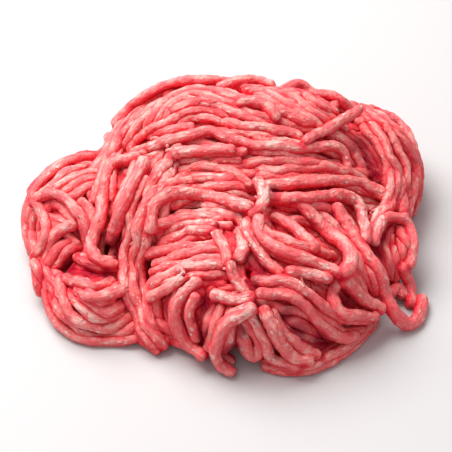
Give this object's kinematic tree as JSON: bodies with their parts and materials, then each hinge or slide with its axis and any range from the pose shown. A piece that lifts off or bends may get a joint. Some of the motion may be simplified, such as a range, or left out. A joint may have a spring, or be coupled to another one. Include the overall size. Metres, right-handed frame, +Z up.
{
  "type": "heap of raw minced meat",
  "caption": "Loose lumpy heap of raw minced meat in pressed strands, flat underneath, to rest on a plain surface.",
  "frame": {"origin": "middle of the bounding box, on the surface that the heap lies on", "axes": "+X along the longer side, to the right in the picture; +Y away from the viewer; +Z up"},
  "size_m": [0.165, 0.1392, 0.0573],
  "materials": {
    "raw_meat": "moist raw red meat with pale flecks of fat"
  },
  "bodies": {
    "root": {"mince_heap": "raw_meat"}
  },
  "joints": []
}
